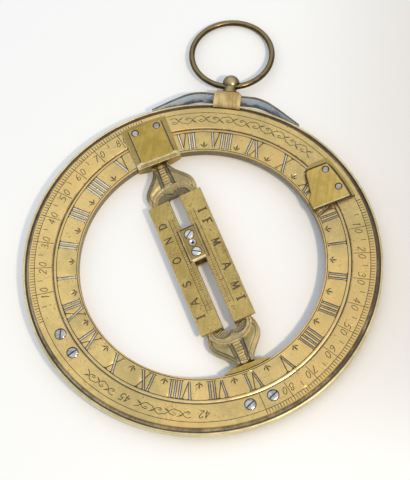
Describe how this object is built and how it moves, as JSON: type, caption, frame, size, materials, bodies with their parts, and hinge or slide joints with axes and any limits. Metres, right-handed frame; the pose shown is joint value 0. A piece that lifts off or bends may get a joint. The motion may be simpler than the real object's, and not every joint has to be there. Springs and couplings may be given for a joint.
{
  "type": "universal ring dial",
  "caption": "Folding universal equinoctial ring dial: hour ring and slotted bridge with a sliding pinhole cursor turn inside a meridian ring with a sliding suspension loop.",
  "frame": {"origin": "common centre of the two rings, at the level of the flat surface that the folded dial lies on", "axes": "+Z out of the engraved face, +Y towards the suspension at its rest place on the rim, +X completes the right-handed set; the polar axis of the bridge is turned 30 degrees from +Y towards -X"},
  "size_m": [0.11, 0.1439, 0.0077],
  "materials": {
    "ring_brass": "old gilt brass, rubbed and engraved",
    "plate_brass": "olive toned old brass",
    "bridge_brass": "chiselled old brass with dark hollows",
    "worked_brass": "filed and rubbed brass",
    "screw_steel": "filed steel, lightly stained",
    "spring_steel": "blue-grey spring steel",
    "dark_brass": "brown toned brass wire and turning"
  },
  "bodies": {
    "meridian": {"meridian_ring": "ring_brass", "upper_bracket": "plate_brass", "lower_bracket": "plate_brass", "front_stop_plate": "plate_brass", "back_stop_plate": "plate_brass", "upper_bracket_screws": "screw_steel", "lower_bracket_screws": "screw_steel", "front_stop_screws": "screw_steel", "back_stop_screws": "screw_steel", "hour_pivot_east": "screw_steel", "hour_pivot_west": "screw_steel"},
    "hour": {"hour_ring": "ring_brass"},
    "bridge": {"bridge_frame": "bridge_brass", "calendar_strip_east": "plate_brass", "calendar_strip_west": "plate_brass", "bridge_pivot_upper": "screw_steel", "bridge_pivot_lower": "screw_steel"},
    "cursor": {"cursor_front_plate": "worked_brass", "cursor_back_plate": "worked_brass", "cursor_screws": "screw_steel", "pinhole_bush": "screw_steel"},
    "slide": {"slide_yoke": "worked_brass", "slide_spring": "spring_steel"},
    "swivel": {"swivel_ball": "dark_brass", "swivel_burr": "dark_brass"},
    "loop": {"suspension_loop": "dark_brass"}
  },
  "joints": [
    {"name": "hour_ring_fold", "type": "hinge", "parent": "meridian", "child": "hour", "pos_m": [0, 0, 0.0038], "axis": [-0.866, -0.5, 0], "range_deg": [0, 90]},
    {"name": "bridge_turn", "type": "hinge", "parent": "meridian", "child": "bridge", "pos_m": [0, 0, 0.0038], "axis": [-0.5, 0.866, 0], "continuous": true},
    {"name": "cursor_slide", "type": "slide", "parent": "bridge", "child": "cursor", "axis": [-0.5, 0.866, 0], "range_m": [-0.02235, 0.01035]},
    {"name": "suspension_travel", "type": "hinge", "parent": "meridian", "child": "slide", "pos_m": [0, 0, 0.0038], "axis": [0, 0, 1], "continuous": true},
    {"name": "swivel_turn", "type": "hinge", "parent": "slide", "child": "swivel", "pos_m": [0, 0.06, 0.0038], "axis": [0, 1, 0], "continuous": true},
    {"name": "loop_swing", "type": "hinge", "parent": "swivel", "child": "loop", "pos_m": [0, 0.06209, 0.0038], "axis": [1, 0, 0], "range_deg": [-105, 118]}
  ]
}
